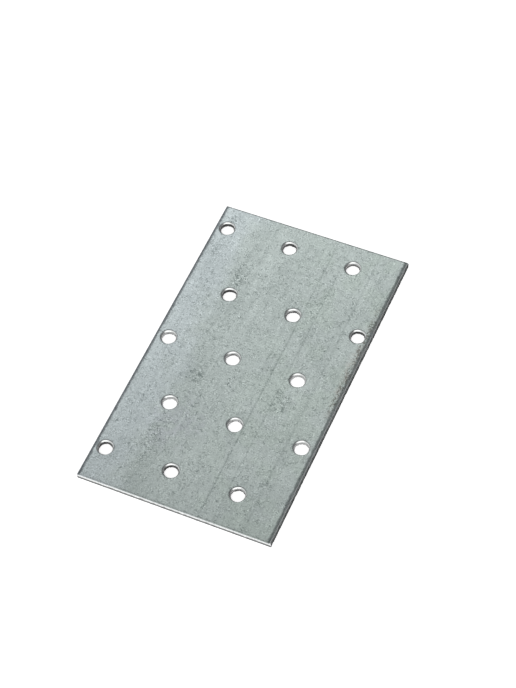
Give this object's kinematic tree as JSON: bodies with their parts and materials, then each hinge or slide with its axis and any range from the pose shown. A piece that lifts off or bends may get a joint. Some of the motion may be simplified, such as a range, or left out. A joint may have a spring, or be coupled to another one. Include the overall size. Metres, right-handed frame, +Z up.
{
  "type": "mending plate",
  "caption": "Flat rectangular mending plate of galvanised steel sheet with rolled-over cut edges and staggered rows of punched nail holes.",
  "frame": {"origin": "middle of the underside", "axes": "+X across the plate, +Y along its length, +Z up through the sheet to the side that was punched"},
  "size_m": [0.058, 0.1, 0.002],
  "materials": {
    "galvanised_steel": "satin"
  },
  "bodies": {
    "root": {"plate": "galvanised_steel"}
  },
  "joints": []
}
